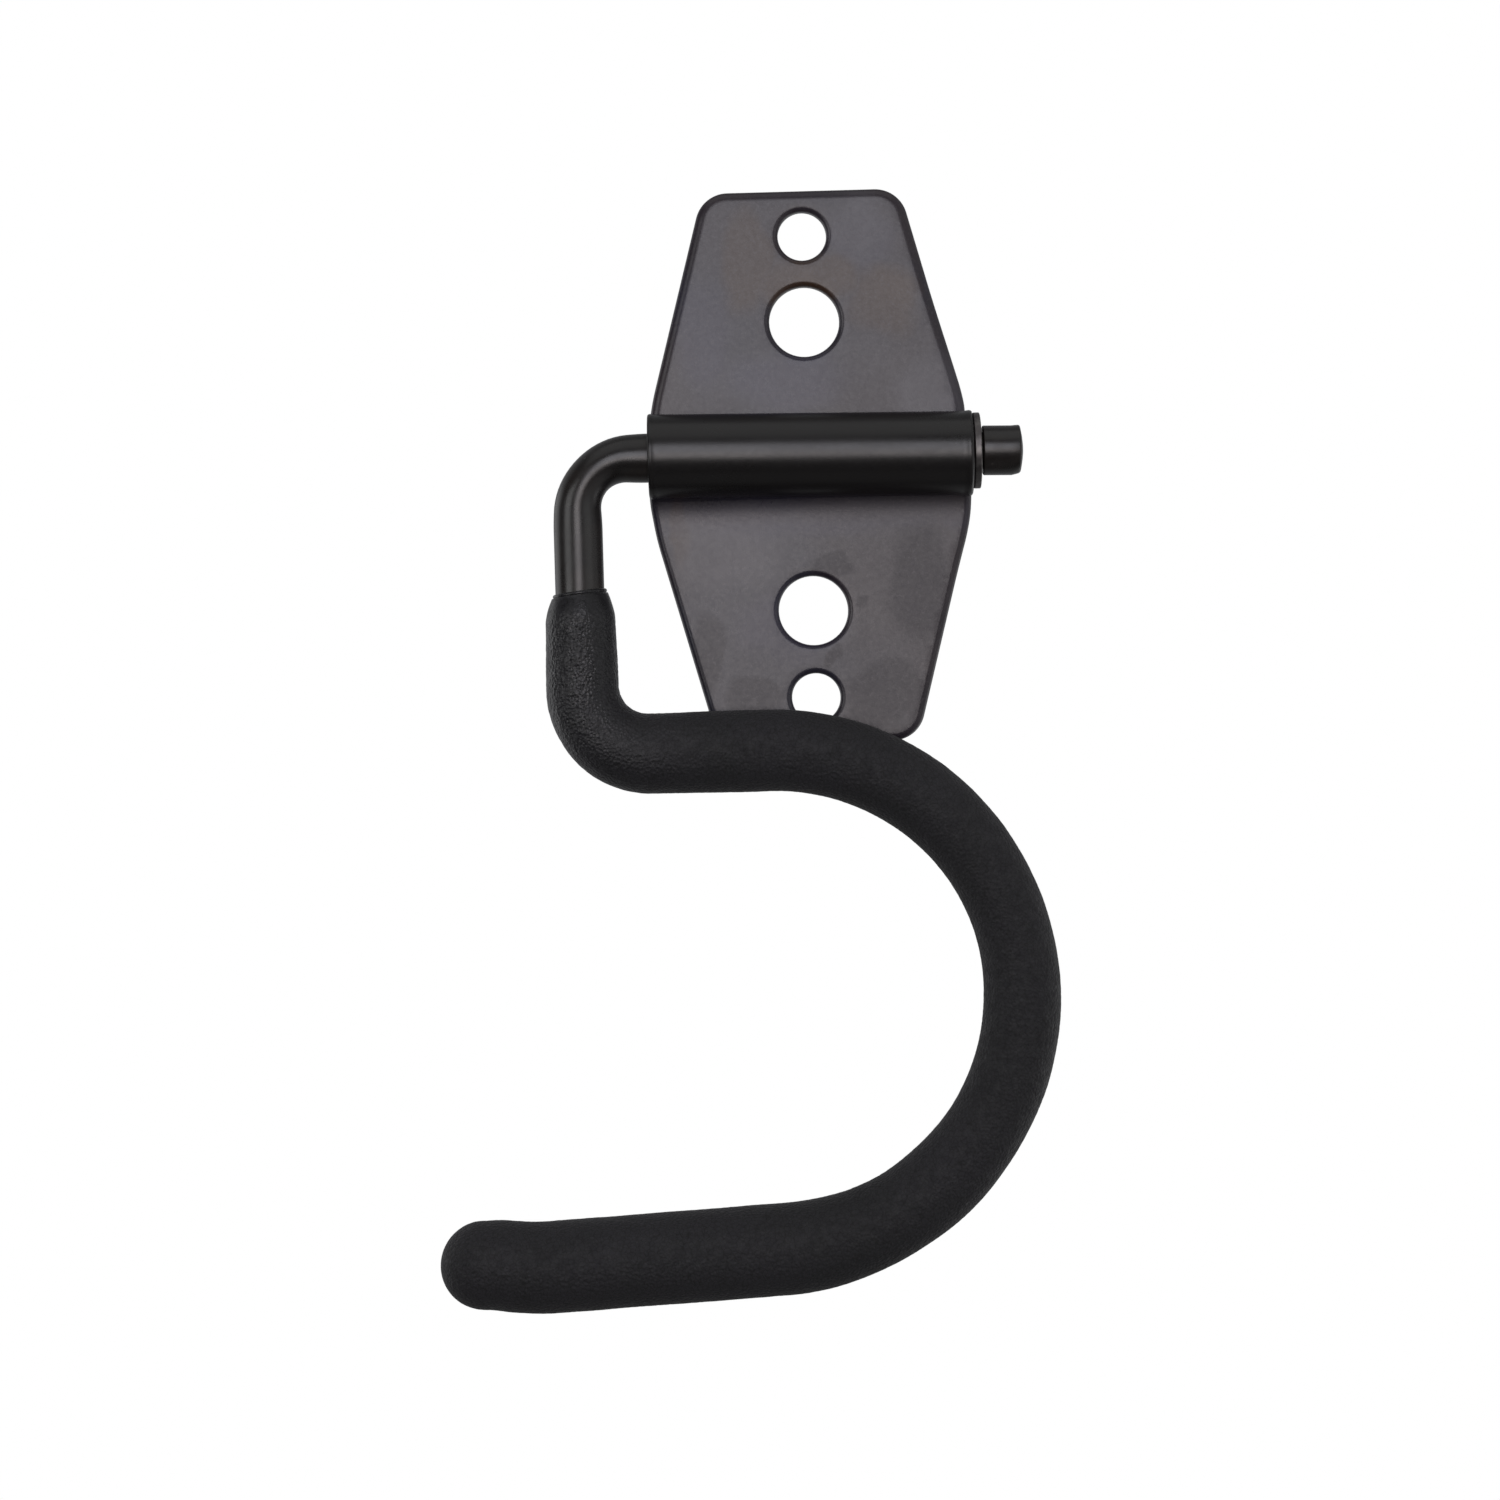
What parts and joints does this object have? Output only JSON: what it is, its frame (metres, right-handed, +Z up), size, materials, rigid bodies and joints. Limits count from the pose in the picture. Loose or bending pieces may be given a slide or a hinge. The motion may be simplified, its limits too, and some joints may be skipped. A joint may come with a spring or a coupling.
{
  "type": "folding wall hook",
  "caption": "Folding wall hook: a bent steel rod with a foam-sleeved J turns in the rolled barrel of a tapered wall plate and folds flat to either side.",
  "frame": {"origin": "centre of the wall plate's back face, on the wall plane, halfway between the two leaves", "axes": "+Z up along the barrel and the swing axis, +Y into the wall, -Y out of the wall, X along the plate from leaf to leaf; at rest the hook lies folded towards -X"},
  "size_m": [0.1838, 0.017, 0.1024],
  "materials": {
    "plate_paint": "satin black powder coat",
    "rod_paint": "satin black coat on a bent round bar",
    "ring_steel": "black oxide spring steel",
    "foam": "matte black foam with a fine leathery grain"
  },
  "bodies": {
    "bracket": {"wall_plate": "plate_paint"},
    "hook": {"hook_rod": "rod_paint", "retaining_ring": "ring_steel", "foam_sleeve": "foam"}
  },
  "joints": [
    {"name": "hook_swing", "type": "hinge", "parent": "bracket", "child": "hook", "pos_m": [0.0015, -0.0095, 0], "axis": [0, 0, 1], "range_deg": [0, 180]}
  ]
}
